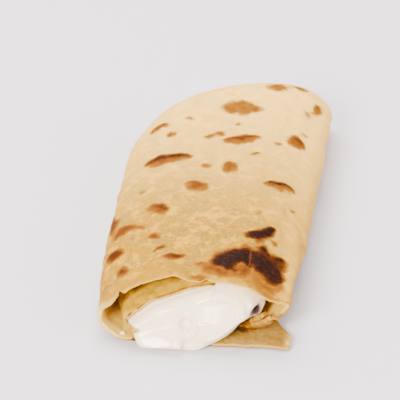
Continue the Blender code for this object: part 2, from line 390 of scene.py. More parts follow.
nodeLow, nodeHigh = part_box("chapati")
rollOffset = np.array((roll["middleX"], roll["cutY"] - roll["cutPlay"], 0)) * mm
rollPlace = ((nodeLow.x + nodeHigh.x) / 2, nodeLow.y, nodeLow.z) - rollOffset


def finishPiece(piece, material):
    # from the roll's millimetres to the model's metres, smooth and with its one material
    movePoints(piece, pointsOf(piece) * mm + rollPlace)
    activate(piece)
    bpy.ops.object.shade_smooth()
    piece.data.materials.clear()
    piece.data.materials.append(material)


dough = {
    "columnSpacing": 0.75,
    "innerSpacing": 1,
    "firstRow": 0.14,
    "rowGrowth": 1.25,
    "rowSpacing": 0.85,  # near the cut, and further back
    "farSpacing": 1.3,
    "nearLength": 36,
    "sheetEnd": 0.9,
    "thickest": 1.5,  # largest thickness, as a share of the sheet's
    "thinning": (2.6, 0.4),  # grain and reach of the rim's uneven thickness
    "rimRounding": 3,
    "rag": ((3.6, 0.55), (1.3, 0.4)),  # grain and depth of the uneven cut edge
    # x, lowest z, depth and half width
    "notches": ((-22.6, 10, 2, 0.8), (-25, 10, -0.7, 1.6), (3.6, 19, 0.8, 0.9), (15.6, 15, 0.7, 0.8)),
    "swell": ((13, 0.4), (5.5, 0.2)),  # grain and height of the sheet's slow unevenness
    "tuckStart": 0.84,
    "tuckEnd": 0.9995,
    "tuckEasing": 0.6,
    "tuckProud": (0.1, 0.8),
    "tuckFoot": (16, 0.7, 180, 9, 6),
    "tuckSpacing": (1, 0.2),  # of the points above, and of those below that they are paired with
    "tuckRings": 34,
    "tornCorner": 1.7,  # mm torn off the lowest layer's corner at the right
}


def rowDistances():
    # mm behind the cut edge, close together at the lip
    def widestAt(along):
        return dough["rowSpacing"] if along < dough["nearLength"] else dough["farSpacing"]

    length = rollLength * dough["sheetEnd"]
    distances = growingSteps(length, dough["firstRow"], dough["rowGrowth"], widestAt)
    return distances * length / distances[-1]


def ragLine(line):
    # the cut edge's small unevenness, in mm, for each column
    run = runAlong(line)
    rag = sum(depth * cloudAlong(run, grain, 3 + n) for n, (grain, depth) in enumerate(dough["rag"]))
    for x, lowest, depth, half in dough["notches"]:
        rag += np.where(line[:, 1] > lowest, depth * hill((line[:, 0] - x) / half), 0)
    return rag


def outwards(rows):
    # for points laid in rows along the spiral, the direction away from the inside of the roll
    run = np.gradient(rows, axis=1)
    out = np.stack([-run[..., 2], np.zeros(run.shape[:2]), run[..., 0]], axis=-1)
    return out / np.maximum(np.linalg.norm(out, axis=-1), 1e-9)[..., None]


def swollen(rows, out):
    # slow unevenness of the whole roll, kept off the layers that lie on the table
    points = rows.reshape(-1, 3)
    free = smooth((points[:, 2] - 2) / 4)
    height = sum(height * cloud(points, grain, 11 + n, 2) for n, (grain, height) in enumerate(dough["swell"]))
    return (points + out.reshape(-1, 3) * (free * height)[:, None]).reshape(rows.shape)


def addWall(piece, thickness):
    wall = piece.modifiers.new("wall", "SOLIDIFY")
    wall.thickness = thickness
    wall.offset = 0
    return wall


def makeSheet():
    cells = legCells(dough["columnSpacing"], dough["innerSpacing"])
    cut, body = middleLine(atCut, cells), middleLine(inBody, cells)
    setback = knotLine(cutSetback.values(), cells) + ragLine(cut)
    distances = rowDistances()
    rows = np.array([laid(cut, body, setback, d / rollLength) for d in distances])
    out = outwards(rows)
    rows = swollen(rows, out)
    sheet, row, column = gridPiece("doughSheet", rows)
    # thickness: a thin, uneven rim at the cut, and the full sheet behind it
    rim = sheet.vertex_groups.new(name="thickness")
    grain, reach = dough["thinning"]
    uneven = 1 + reach * cloudAlong(np.arange(len(cut)) * dough["columnSpacing"], grain, 7)
    thinness = knotLine(rimShare.values(), cells) * uneven
    share = mix(thinness[column], 1, smooth(distances[row] / dough["rimRounding"])) / dough["thickest"]
    for index, weight in enumerate(np.clip(share, 0.05, 1)):
        rim.add([index], float(weight), "REPLACE")
    wall = addWall(sheet, roll["thickness"] * dough["thickest"])
    wall.vertex_group = "thickness"
    wall.thickness_vertex_group = 0
    applyModifiers(sheet)
    sheet.vertex_groups.clear()

    def bothSides(values):
        return np.concatenate([values, values])

    # inner side or outer side of the roll, outermost turn or not, and the distance behind the cut edge
    fromMiddle = pointsOf(sheet) - bothSides(rows[row, column])
    inner = (fromMiddle * bothSides(out[row, column])).sum(axis=1) < 0
    tail = bothSides(column < knotColumn("bottom", cells)) & inner
    fields = {
        "inner": inner,
        "wrap": bothSides(column < knotColumn("under", cells)) & ~inner,
        "tail": tail * smooth((bothSides(rows[row, column, 0]) + 2) / 8),
        "behindCut": bothSides(distances[row]),
    }
    setAttributes(sheet, fields)
    return sheet


def ringOutline():
    # the tucked end's closed outline: every point of its foot lies under one of the outer wrap above
    ring = {**inBody, "foot": dough["tuckFoot"]}

    def spaced(names, spacing):
        cells = [round(legLength(ring, a, b) / spacing) for a, b in zip(names, names[1:])]
        return middleLine(ring, cells, names)

    spacing, fineSpacing = dough["tuckSpacing"]
    above = spaced(("left", "top", "crown", "shoulder", "right"), spacing)
    below = spaced(("right", "foot", "bottom", "left"), fineSpacing)[::-1]
    xs = above[1:-1, 0]
    paired = np.column_stack([xs, np.interp(xs, below[:, 0], below[:, 1])])
    return np.concatenate([above, paired[::-1]])


def makeTuckedEnd():
    outline = ringOutline()
    count = len(outline)
    wrapped = np.concatenate([outline[-2:], outline, outline[:3]])
    start, easing = dough["tuckStart"], dough["tuckEasing"]
    rows = []
    for t in np.arange(dough["tuckRings"] + 1) / dough["tuckRings"]:
        fraction = min(mix(start, 1, t * (1 + easing - easing * t)), dough["tuckEnd"])
        proud = mix(*dough["tuckProud"], smooth((fraction - start) / (dough["sheetEnd"] - start)))
        ring = beside(wrapped, -proud)[2:-2]
        rows.append(laid(ring, ring, 0, fraction))
    rows = np.array([np.repeat([rows[0].mean(axis=0)], count + 1, axis=0), *rows])
    out = outwards(np.concatenate([rows[:, -2:-1], rows, rows[:, 1:2]], axis=1))[:, 1:-1]
    leftToEnd = smooth((farEdge(rows[..., 0]) - rows[..., 1]) / 3)[..., None]
    rows = mix(rows, swollen(rows, out), leftToEnd)
    # the seam: each point above meets its partner below
    partner = (count - np.arange(count + 1)) % count
    seam = (rows[-1] + rows[-1][partner]) / 2
    seam[:, 2] = roll["seamHeight"]
    end, _, _ = gridPiece("tuckedEnd", np.concatenate([rows, [seam]]))
    sealPiece(end)
    return end


def makeChapati():
    sheet, end = makeSheet(), makeTuckedEnd()
    union = sheet.modifiers.new("fuse", "BOOLEAN")
    union.operation = "UNION"
    union.solver = "EXACT"
    union.object = end
    applyModifiers(sheet)
    bpy.data.objects.remove(end)
    # slivers along the join go, and its many-sided faces are cut into triangles
    bpy.ops.object.mode_set(mode="EDIT")
    bpy.ops.mesh.select_all(action="SELECT")
    bpy.ops.mesh.dissolve_degenerate(threshold=2e-3)
    bpy.ops.mesh.select_all(action="DESELECT")
    bpy.ops.mesh.select_face_by_sides(number=4, type="GREATER")
    bpy.ops.mesh.quads_convert_to_tris(ngon_method="BEAUTY")
    bpy.ops.object.mode_set(mode="OBJECT")
    # the tucked end is outer skin, far behind the cut
    added = (pointsOf(sheet)[:, 1] > 0) & (getAttribute(sheet, "behindCut") < 20)
    atEnd = {"inner": 0.0, "wrap": 1.0, "tail": 0.0, "behindCut": rollLength}
    fields = {name: np.where(added, value, getAttribute(sheet, name)) for name, value in atEnd.items()}
    setAttributes(sheet, fields)
    sheet.name = "chapatiRoll"
    print("dough:", len(sheet.data.vertices), "points,", len(sheet.data.polygons), "faces")
    return sheet


def tearCorner(piece):
    # the lowest layer's corner at the right is torn off a little
    points = pointsOf(piece)
    x, y, z = points.T
    lowest = (z < 2.4) & (y < -30)
    reach = dough["tornCorner"] * smooth((x - 21) / 7) * smooth((y - roll["cutY"] - 5) / 6)
    points[:, 0] = x - reach * lowest
    movePoints(piece, points)


# Spots on top, in plan: softness in mm, toast (golden to brown), char (dark brown to black), and corners
topSpots = {
    "charLeft": (1.1, 1, 1, (
        (4.2, -42.7), (5.6, -39.6), (7.6, -37), (9.7, -35.4), (11.9, -34.9), (14, -33.8), (15.6, -33.9),
        (15.9, -37.7), (16, -42.2), (14.1, -41.9), (12.2, -42.2), (11.2, -43.9), (10.8, -45.7), (9, -46.3),
        (7.2, -45.2), (5.3, -44.4),
    )),
    "brownLeft": (1.6, 0.95, 0.42, (
        (3.5, -43), (5.3, -38.9), (7.2, -36.1), (9.6, -34.4), (12.3, -33.8), (13.9, -32.7), (15.2, -33.2),
        (15.9, -40.7), (14.7, -41.6), (13.1, -42.1), (12, -43.5), (12.6, -45.7), (11.4, -47.7), (9.4, -47),
        (7.4, -46.1), (5.1, -45.4), (3.4, -44.3),
    )),
    "glowLeft": (1.8, 0.82, 0.06, (
        (2, -44.9), (4.5, -44.9), (8, -46.5), (10.9, -47.9), (12.5, -47.3), (12.7, -43.3), (15.7, -40.7),
        (16.2, -45.7), (14.3, -48.4), (11, -49.3), (7.8, -49.6), (4.3, -48.4), (2.3, -47.2),
    )),
    "charRight": (1, 1, 1, (
        (15.3, -34.9), (17.2, -34), (18.6, -34.8), (20.3, -35.1), (22.2, -35), (23.5, -37.2), (25.2, -38.9),
        (26, -41.1), (25.9, -43.6), (24.1, -44.4), (22.3, -43.7), (21, -42.5), (19, -42.6), (17, -41.6),
        (15.4, -39.6),
    )),
    "brownRight": (1.6, 0.95, 0.5, (
        (15.7, -34.1), (17.6, -33.1), (17.7, -31.4), (19.3, -30.2), (20.5, -31.1), (21.7, -32.2),
        (23.3, -31.5), (25, -31.5), (26.2, -32.5), (26.2, -35.9), (25.3, -38.3), (26.2, -42), (25.8, -44.5),
        (23.7, -45.5), (21.2, -46), (18.8, -43.8), (17.1, -42.8), (16.2, -39.6),
    )),
    "darkUpper": (0.8, 0.95, 0.8, (
        (17.7, -31.7), (19, -30.4), (20.5, -31.3), (21.7, -33), (20.2, -34.2), (18.5, -33.3),
    )),
    "darkCorner": (0.7, 0.95, 0.75, (
        (23.1, -32.2), (24.4, -31), (25.9, -31.5), (26.1, -32.6), (24.6, -33.3), (23.4, -33.3),
    )),
    "rimLine": (0.6, 0.9, 0.35, (
        (13.9, -32.5), (15, -32.7), (16.5, -34.2), (16.3, -35.2), (15.1, -34.3), (14, -33.8),
    )),
    "glowRight": (2.4, 0.55, 0, (
        (16, -43.5), (18.8, -43.8), (21.3, -46.5), (24.6, -46), (25.6, -45.1), (25.6, -48.6), (22.2, -51.1),
        (19.3, -49.7), (17, -47.7), (15.9, -45.4),
    )),
    "upper": (1.1, 1, 1, (
        (13.2, -26.1), (15.3, -23.7), (17.4, -22.1), (19.4, -19.6), (20.8, -19.4), (21.4, -20.9),
        (20.6, -23.5), (18.9, -25.9), (17.3, -27.2), (15.8, -26.5), (13.9, -26.9),
    )),
    "upperTail": (1, 0.85, 0.2, ((16, -25.9), (19.4, -25), (18.8, -27.7), (17.4, -28.9), (16.6, -27.9))),
    "smallUpper": (0.8, 0.6, 0, ((20.8, -25.7), (22.8, -25.4), (23.1, -26.8), (21.5, -27))),
    "leftSlope": (0.9, 0.95, 0.2, (
        (-29.1, -34.4), (-28.7, -33), (-27.4, -31.9), (-25.6, -32.3), (-24.2, -33.5), (-24.1, -35.4),
        (-25.4, -36.2), (-26.7, -36.6), (-27.9, -36.5),
    )),
    "round": (0.8, 0.85, 0.1, (
        (-24, -43.8), (-23.7, -42.3), (-22.7, -42.2), (-21.4, -43.5), (-20.8, -45.3), (-21.1, -47),
        (-22, -47.4), (-23.2, -46),
    )),
    "small": (0.7, 0.85, 0, ((-16.6, -30), (-15.3, -28), (-13.4, -29.6), (-12.4, -31.1), (-14.9, -31.1))),
    "slanted": (0.7, 0.88, 0.15, (
        (-14.2, -38.1), (-12.7, -36), (-11.3, -34.3), (-10.4, -35.3), (-11.5, -37.7), (-13.7, -39),
    )),
    "longOval": (0.8, 0.9, 0.1, (
        (-10.8, -41.4), (-8.8, -40), (-6.6, -39.5), (-4.2, -40.2), (-4.3, -41.7), (-6.2, -42.9),
        (-8.5, -42.8),
    )),
    "longOvalEdge": (0.6, 0.9, 0.5, (
        (-9.8, -40.7), (-8.4, -39.9), (-6.4, -39.5), (-4.6, -40.1), (-6.6, -40.6),
    )),
    "arc": (0.9, 0.72, 0, (
        (-28.5, -24.2), (-27.4, -20.9), (-24.9, -20.3), (-22.2, -21), (-19.3, -23.6), (-18.2, -24.9),
        (-19.1, -25.3), (-21.3, -23.7), (-22.7, -23.6), (-24.6, -24.8), (-26.8, -25.4), (-28.2, -25.5),
    )),
    "arcEdge": (0.7, 0.9, 0.15, (
        (-28.4, -24.6), (-26.4, -23.2), (-24.4, -23.6), (-26.2, -24.8), (-28.2, -25.6),
    )),
    "nearLip": (1, 0.62, 0, (
        (-1.2, -50.3), (1.6, -49.5), (4.1, -51.4), (3.1, -52.1), (0.3, -52.1), (-0.8, -51.8),
    )),
    "shortStreak": (0.6, 0.68, 0, (
        (-0.5, -43.7), (0.7, -42.8), (2.1, -43.2), (3.9, -44), (2.3, -44.9), (0.3, -44.4),
    )),
    "leftEdge": (0.9, 0.92, 0.25, (
        (-30.8, -8.4), (-28.7, -13.2), (-27.9, -14.3), (-28.3, -18.5), (-28.6, -21.9), (-29.9, -18.6),
    )),
    "leftPatch": (1.2, 0.3, 0, (
        (-28.3, -45.9), (-26.2, -48.6), (-25.8, -51.5), (-27, -51.3), (-28.1, -48.3),
    )),
    "lipGold": (1.4, 0.42, 0, (
        (14.4, -49.9), (16.5, -48.4), (18.7, -48.3), (21, -49.2), (23.9, -51.2), (26.8, -52.4), (29, -53.1),
        (23.8, -52.9), (21.3, -52.9), (18.4, -51.4),
    )),
}
# Blisters browned on their far side, where nothing shows the skin: x, y, half length, half width, turn in
# degrees, toast, char
crescents = (
    (-16, 17, 7.4, 2.9, 12, 0.97, 0.6), (6.5, 31, 6.2, 2.2, 20, 0.9, 0.35), (21, 5.5, 4.6, 2.2, 6, 1, 0.85),
    (-5, 0.5, 3.4, 2.8, -10, 0.74, 0), (-21.5, 39, 3, 1.7, 24, 0.85, 0.2), (4.5, 13, 2.3, 3.4, 8, 0.66, 0),
    (24, 35, 2.4, 3.6, -6, 0.8, 0.15),
)
# Plain oval spots: x, y, half length, half width, turn in degrees, softness, toast, char
ovalSpots = (
    (-27.4, -48.2, 1, 1.2, 0, 0.9, 0.35, 0), (-7.6, -50.6, 1.5, 0.8, 0, 0.8, 0.3, 0),
    (13.3, -32.3, 1.3, 0.5, 10, 0.6, 0.7, 0.1), (4.2, 51.8, 6.6, 5, -6, 1.4, 0.42, 0),
    (8.6, 51.2, 2.8, 2.6, 0, 1.4, 0.54, 0), (15.3, 67.1, 3.6, 2.6, 0, 1.6, 0.5, 0),
    (22.6, 70.4, 2.4, 2.2, 0, 1.5, 0.48, 0), (29.3, 61.3, 1.2, 3.2, -10, 1.2, 0.6, 0),
    (26.5, 55.2, 1.3, 2, 0, 1.2, 0.38, 0),
)

skin = {
    "outlineWander": (3.2, 0.8),  # grain and reach of the spots' uneven outlines
    # small spots where nothing shows the skin: count, seed, and range of x and y
    "hiddenTop": (16, 12, (-26, 29), (-14, 46)),
    "hiddenUnder": (40, 5, (-30, 33), (-48, 76)),
    "blisters": 150,
    "blisterSeed": 8,
    "blisterPlace": ((-31, 33), (-52, 76)),
    "blisterSize": (0.9, 3.2),
    "blisterHeight": 0.13,
    "spotRise": 0.32,
    "grain": ((4.2, 0.14), (1.9, 0.1)),
    "innerEdge": (2.4, 1.1, 0.42),  # grain, width in mm and toast of the inner turn's browned edge
    "innerBulge": (3.2, 0.35, 0.5),  # grain of the bulges under the lip, their height and its unevenness
    "creaseDepth": 0.55,
    "crackDepth": 0.25,
    # marks on the rims and the layers inside: x, y, z, size, toast, char
    "rimMarks": (
        (-17.8, -57.4, 0.4, 0.95, 0.85, 0.7), (-22.4, -52.6, 14.6, 0.7, 0.8, 0.2),
        (5.8, -51, 18, 0.6, 0.45, 0), (15.2, -50.4, 2.7, 1.5, 0.66, 0), (17.4, -51, 3, 1.1, 0.5, 0),
        (13.6, -50.2, 3.6, 0.7, 0.7, 0), (18.6, -51.3, 3, 0.7, 0.6, 0), (24.6, -53.9, 8.6, 0.5, 0.85, 0.35),
        (26.2, -55, 1.6, 2.4, 0.15, 0), (-29, -20, 5, 1, 0.6, 0),
    ),
    "crack": ((15.5, -33.4), (15.6, -37.6), (15.7, -40.8), (15.9, -45)),
    "shoulderCrease": ((24, -6), (25.4, -9.6), (28, -10.6), (29.8, -13.7), (30.6, -17.5), (30.8, -24)),
}


def distanceToLine(points, line):
    # plan distance in mm to an open line of corners
    nearest = np.full(len(points), 1e9)
    for a, b in zip(line, line[1:]):
        start, way = np.array(a), np.array(b) - np.array(a)
        fromStart = points[:, :2] - start
        t = np.clip((fromStart @ way) / (way @ way), 0, 1)
        nearest = np.minimum(nearest, np.linalg.norm(fromStart - t[:, None] * way, axis=1))
    return nearest


def insideBy(plan, corners):
    # mm inside a closed outline, negative outside it
    nearest = distanceToLine(plan, [*corners, corners[0]])
    x, y = plan.T
    inside = np.zeros(len(plan), bool)
    for (ax, ay), (bx, by) in zip(corners, [*corners[1:], corners[0]]):
        if ay != by:
            inside ^= ((ay > y) != (by > y)) & (x < (bx - ax) * (y - ay) / (by - ay) + ax)
    return np.where(inside, nearest, -nearest)


def ovalOutline(x, y, halfLength, halfWidth, turn):
    angles = np.linspace(0, 2 * math.pi, 14)[:-1]
    along, across, turn = halfLength * np.cos(angles), halfWidth * np.sin(angles), math.radians(turn)
    xs = x + along * math.cos(turn) - across * math.sin(turn)
    return list(zip(xs, y + along * math.sin(turn) + across * math.cos(turn)))


def raiseTo(marks, name, values):
    marks[name] = np.maximum(marks[name], values)


def addSpot(marks, plan, corners, where, softness, toast, char):
    inside = insideBy(plan, corners)
    raiseTo(marks, "toast", where * toast * smooth(0.52 + inside / softness / 3.2))
    raiseTo(marks, "char", where * char * smooth(0.56 + inside / softness / 3.4))
    if toast > 0.55:
        raiseTo(marks, "rise", where * toast * smooth(0.4 + inside / 2))


def addRimMarks(marks, points):
    for x, y, z, size, toast, char in skin["rimMarks"]:
        near = smooth(1.5 - np.linalg.norm(points - (x, y, z), axis=1) / size)
        raiseTo(marks, "toast", toast * near)
        raiseTo(marks, "char", char * near)


def addCrescent(marks, plan, where, x, y, halfLength, halfWidth, turn, toast, char):
    farSide = smooth(0.55 + (plan[:, 1] - y - math.tan(math.radians(turn)) * (plan[:, 0] - x)) / halfWidth)
    corners = ovalOutline(x, y, halfLength, halfWidth, turn)
    addSpot(marks, plan, corners, where * farSide, 1.1, toast, char)
    addSpot(marks, plan, corners, where, 1.3, 0.62, 0)


def scatterSpots(marks, plan, where, rule):
    count, seed, xRange, yRange = rule
    draw = np.random.default_rng(seed)
    for _ in range(count):
        x, y, big = draw.uniform(*xRange), draw.uniform(*yRange), draw.random() < 0.15
        halfLength = draw.uniform(2.2, 4.2) if big else draw.uniform(0.6, 1.9)
        halfWidth = halfLength * draw.uniform(0.4, 0.8)
        turn, toast = draw.uniform(-40, 40), draw.uniform(0.45, 0.9)
        char = 0.7 * draw.random() if big else 0.0
        addCrescent(marks, plan, where, x, y, halfLength, halfWidth, turn, toast, char)


def spotMarks(points, plan, above, below):
    marks = {name: np.zeros(len(points)) for name in ("toast", "char", "rise")}
    for softness, toast, char, corners in topSpots.values():
        addSpot(marks, plan, corners, above, softness, toast, char)
    for *oval, softness, toast, char in ovalSpots:
        addSpot(marks, plan, ovalOutline(*oval), above, softness, toast, char)
    for crescent in crescents:
        addCrescent(marks, plan, above, *crescent)
    scatterSpots(marks, plan, above, skin["hiddenTop"])
    scatterSpots(marks, plan, below, skin["hiddenUnder"])
    addRimMarks(marks, points)
    return marks


def blisterHeight(plan):
    height = np.zeros(len(plan))
    draw = np.random.default_rng(skin["blisterSeed"])
    xRange, yRange = skin["blisterPlace"]
    for _ in range(skin["blisters"]):
        x, y = draw.uniform(*xRange), draw.uniform(*yRange)
        size = draw.uniform(*skin["blisterSize"])
        turn = math.radians(draw.uniform(0, 180))
        dx, dy = plan[:, 0] - x, plan[:, 1] - y
        along = (dx * math.cos(turn) + dy * math.sin(turn)) / draw.uniform(1, 1.9)
        across = dy * math.cos(turn) - dx * math.sin(turn)
        high = skin["blisterHeight"] * size * draw.uniform(0.3, 1)
        height += high * smooth(1.1 - np.hypot(along, across) / size)
    return height


def bakeMarks(piece):
    # the dough's relief, and the fields that its material reads
    points, normals = pointsOf(piece), normalsOf(piece)
    x, y, z = points.T
    wrap, inner = getAttribute(piece, "wrap") > 0.5, getAttribute(piece, "inner") > 0.5
    behindCut = getAttribute(piece, "behindCut")
    grain, reach = skin["outlineWander"]
    plan = points[:, :2] + np.column_stack([cloud(points, grain, 21 + n, 2) for n in range(2)]) * reach
    above = wrap * smooth((normals[:, 2] + 0.1) / 0.3)
    marks = spotMarks(points, plan, above, wrap * smooth(-normals[:, 2] / 0.3))
    innerTurn = ~wrap & ~inner
    grain, width, toast = skin["innerEdge"]
    line = smooth(1 - behindCut / width) * smooth(0.6 + cloud(points, grain, 41, 2))
    raiseTo(marks, "toast", np.where(innerTurn, toast * line, 0))
    height = blisterHeight(plan) * above + skin["spotRise"] * marks["rise"]
    # the inner turn bulges up under the lip
    grain, base, uneven = skin["innerBulge"]
    bulge = (base + uneven * cloud(points, grain, 37, 2)) * smooth(behindCut / 2.5)
    height += np.where(innerTurn & (z > 6), bulge, 0)
    for n, (size, depth) in enumerate(skin["grain"]):
        height += depth * cloud(points, size, 31 + n, 2)
    crease = distanceToLine(points, skin["shoulderCrease"])
    height -= above * (skin["creaseDepth"] * hill(crease / 0.7) - 0.25 * hill((crease - 1.6) / 0.9))
    height -= skin["crackDepth"] * (hill(distanceToLine(points, skin["crack"]) / 0.6) * above)
    movePoints(piece, points + normals * (height * smooth((z - 0.4) / 2.5))[:, None])
    # the cut edge is paler, and in patches at the lowest layer's end; its wide pale band at the lower left is
    # partly painted light, for light shining through the thin dough
    low = smooth((-17.5 - x) / 8) * smooth((15 - z) / 7)
    edge = mix(np.where(inner, 0.4, 0.15), 1, low) * smooth(1 - behindCut / mix(0.6, 7.5, low))
    tailEnd = smooth((x - 27.6) / 1.6) * smooth((-49 - y) / 3) * smooth(2.6 - z)
    edge = np.maximum(edge, tailEnd * smooth(0.6 + cloud(points, 1.5, 43, 2)))
    fields = {"toast": marks["toast"], "char": marks["char"], "wrap": wrap, "inner": inner}
    setAttributes(piece, {**fields, "edge": edge, "lip": smooth(1 - behindCut / 12)})


doughLook = {
    "surface": {
        "Roughness": 0.75,
        "IOR": 1.45,
        "Specular IOR Level": 0.06,
        "Subsurface Weight": 0.04,
        "Subsurface Radius": (1, 0.55, 0.25),
        "Subsurface Scale": 0.8 * mm,
    },
    "fields": ("toast", "char", "wrap", "inner", "tail", "edge", "lip"),
    # Noise over the dough: grain in mm, detail, roughness and shift, then for patches the noise values
    # between which a patch comes in, and its least and greatest share
    "noises": {
        "grey": (6, 4, 0.55, 0, 0.38, 0.62, 0, 1),
        "tan": (4.6, 4, 0.55, 0.7, 0.5, 0.68, 0, 0.45),
        "golden": (3.8, 4, 0.55, 0.3, 0.48, 0.64, 0, 0.75),
        "brown": (2, 5, 0.55, 1.1, 0.52, 0.68, 0, 0.5),
        "flour": (1.2, 6, 0.65, 1.7, 0.52, 0.68, 0, 0.35),
        "specks": (0.8, 5, 0.65, 1.9, 0.56, 0.7, 0, 0.3),
        "farTan": (5.2, 4, 0.55, 5.3, 0.5, 0.66, 0, 0.4),
        "lipGold": (3, 4, 0.55, 2.3, 0.36, 0.56, 0.25, 0.9),
        "withinDull": (2.6, 4, 0.55, 3.1, 0.42, 0.62, 0, 1),
        "withinBrown": (1.3, 4, 0.55, 3.3, 0.5, 0.7, 0, 0.3),
        "lowestGrey": (2, 5, 0.55, 3.7, 0.35, 0.65, 0, 1),
        "lowestBrown": (1.2, 5, 0.55, 4.3, 0.5, 0.7, 0, 0.6),
        "ash": (0.75, 3, 0.55, 6.1, 0.52, 0.66, 0, 0.36),
        "toastEdge": (2.4, 1.5, 0.55, 0),
        "charEdge": (1.9, 5, 0.65, 0),
        "crackBend": (3, 4, 0.55, 0),
        "crust": (1.6, 5, 0.55, 0),
        "grit": (0.45, 3, 0.55, 0),
    },
    "colour": "9a6c00",
    # Steps from there. A pair is a share and the colour laid over by it. Other steps have the name of what
    # they give, then a ramp of a value between two others, a blend by a share of one colour over another, or
    # a sum that goes on over all its terms
    "steps": (
        # mottled skin, lighter at the right, golden at the lip, and paler towards the far end, partly as
        # painted light
        ("grey", "8e6a1c"),
        ("tan", "84642a"),
        ("golden", "c49014"),
        ("brown", "744a02"),
        ("flour", "dca43c"),
        ("specks", "5e3a04"),
        ("right", "ramp", "X", 14 * mm, 26 * mm, 0, 0.45),
        ("right", "cc9a40"),
        # painted light, in part: the skin pales towards the far end as where a bright light falls, and stays
        # darker at the front as if in shade
        ("far", "ramp", "Y", -42 * mm, 62 * mm),
        ("farPaleAndPaintedLight", "MULTIPLY", "far", 0.66),
        ("farPaleAndPaintedLight", "fcc866"),
        ("farTan", "MULTIPLY", "far", "farTan"),
        ("farTan", "c08c20"),
        ("lipGold", "MULTIPLY", "lip", "lipGold"),
        ("lipGold", "986a00"),
        # the layers inside are yellower, the lowest one tan and greyish, and the cut edge pale, its wide band
        # at the lower left partly painted light shining through the thin dough
        ("within", "blend", "withinDull", "b48800", "9c7400"),
        ("within", "blend", "withinBrown", "within", "a87208"),
        ("innerShare", "MULTIPLY", "inner", 0.85),
        ("within", "blend", "innerShare", "within", "dcb040"),
        ("wrapShare", "MULTIPLY", "wrap", 0.96),
        ("withinShare", "SUBTRACT", 0.96, "wrapShare"),
        ("withinShare", "within"),
        ("lowest", "blend", "lowestGrey", "8a6010", "947038"),
        ("lowest", "blend", "lowestBrown", "lowest", "6e4a18"),
        ("tailShare", "MULTIPLY", "tail", 0.95),
        ("tailShare", "lowest"),
        ("paleEdgeAndPaintedLightColour", "blend", "inner", "d8b470", "e8c45c"),
        ("paleEdgeAndPaintedLightShare", "MULTIPLY", "edge", 0.85),
        ("paleEdgeAndPaintedLightShare", "paleEdgeAndPaintedLightColour"),
        # toasted, then burnt: the uneven edge of each spot comes from noise added to its field
        ("fade", "ramp", "toast", 0, 0.3),
        ("ragged", "SUBTRACT", "toastEdge", 0.5),
        ("ragged", "MULTIPLY", "ragged", 0.5, "fade"),
        ("toasted", "ADD", "toast", "ragged"),
        ("share", "ramp", "toasted", 0.06, 0.4),
        ("share", "7a4a00"),
        ("share", "ramp", "toasted", 0.34, 0.66),
        ("share", "643200"),
        ("share", "ramp", "toasted", 0.6, 0.94),
        ("share", "421c00"),
        ("fade", "ramp", "char", 0.02, 0.25),
        ("ragged", "SUBTRACT", "charEdge", 0.5),
        ("ragged", "MULTIPLY", "ragged", 1.7, "fade"),
        ("burnt", "ADD", "char", "ragged"),
        ("share", "ramp", "burnt", 0.1, 0.85),
        ("share", "270b00"),
        ("share", "ramp", "burnt", 0.6, 1.25),
        ("share", "100503"),
        ("share", "ramp", "burnt", 0.3, 0.8),
        ("ash", "MULTIPLY", "ash", "share"),
        ("ash", "42200c"),
        # a hairline crack runs through the large burnt patch
        ("bend", "SUBTRACT", "crackBend", 0.5),
        ("bend", "MULTIPLY", "bend", 1.2 * mm),
        ("offLine", "SUBTRACT", "X", 14.1 * mm),
        ("offLine", "ADD", "offLine", "bend"),
        ("offLine", "ABSOLUTE", "offLine", 0),
        ("crack", "ramp", "offLine", 0.28 * mm, 0.06 * mm),
        ("front", "ramp", "Y", -55.5 * mm, -53.5 * mm),
        ("back", "ramp", "Y", -42.5 * mm, -44 * mm),
        ("crack", "MULTIPLY", "crack", "front", "back", "wrap", 0.24),
        ("crack", "7c4414"),
    ),
}


def doughMaterial():
    # baked wheat dough: dry, floury skin with a soft sheen, browned blisters and burnt patches
    made = newMaterial("baked chapati dough", doughLook["surface"])
    tree = made.node_tree
    where = addNode(tree, "TexCoord", {}, "Object")
    parts = {axis: addNode(tree, "SeparateXYZ", {"Vector": where}, axis) for axis in "XY"}
    parts["colour"] = doughLook["colour"]
    for name in doughLook["fields"]:
        parts[name] = addNode(tree, "Attribute", {"attribute_name": name}, "Fac")
    ramp = {"interpolation_type": "SMOOTHSTEP"}
    ends = ("Value", "From Min", "From Max", "To Min", "To Max")
    for name, (grain, detail, roughness, shift, *patch) in doughLook["noises"].items():
        moved = addNode(tree, "VectorMath", {"operation": "ADD", 0: where, 1: (shift, shift, shift)})
        settings = {"Vector": moved, "Scale": 1 / (grain * mm), "Detail": detail, "Roughness": roughness}
        parts[name] = addNode(tree, "TexNoise", settings, "Fac")
        if patch:
            parts[name] = addNode(tree, "MapRange", {**ramp, **dict(zip(ends, (parts[name], *patch)))})
    for step in doughLook["steps"]:
        if len(step) == 2:
            step = ("colour", "blend", step[0], "colour", step[1])
        name, kind, *terms = step
        terms = [parts.get(term, term) for term in terms]
        if kind == "ramp":
            parts[name] = addNode(tree, "MapRange", {**ramp, **dict(zip(ends, terms))})
        elif kind == "blend":
            parts[name] = addNode(tree, "Mix", {"data_type": "RGBA", **dict(zip((0, 6, 7), terms))}, 2)
        else:
            parts[name] = terms[0]
            for term in terms[1:]:
                parts[name] = addNode(tree, "Math", {"operation": kind, 0: parts[name], 1: term})
    crust = {"Strength": 0.55, "Distance": 0.4 * mm, "Height": parts["crust"]}
    grit = {"Strength": 0.4, "Distance": 0.15 * mm, "Height": parts["grit"]}
    relief = addNode(tree, "Bump", {**grit, "Normal": addNode(tree, "Bump", crust)})
    setNode(tree, tree.nodes["Principled BSDF"], {"Base Color": parts["colour"], "Normal": relief})
    return made


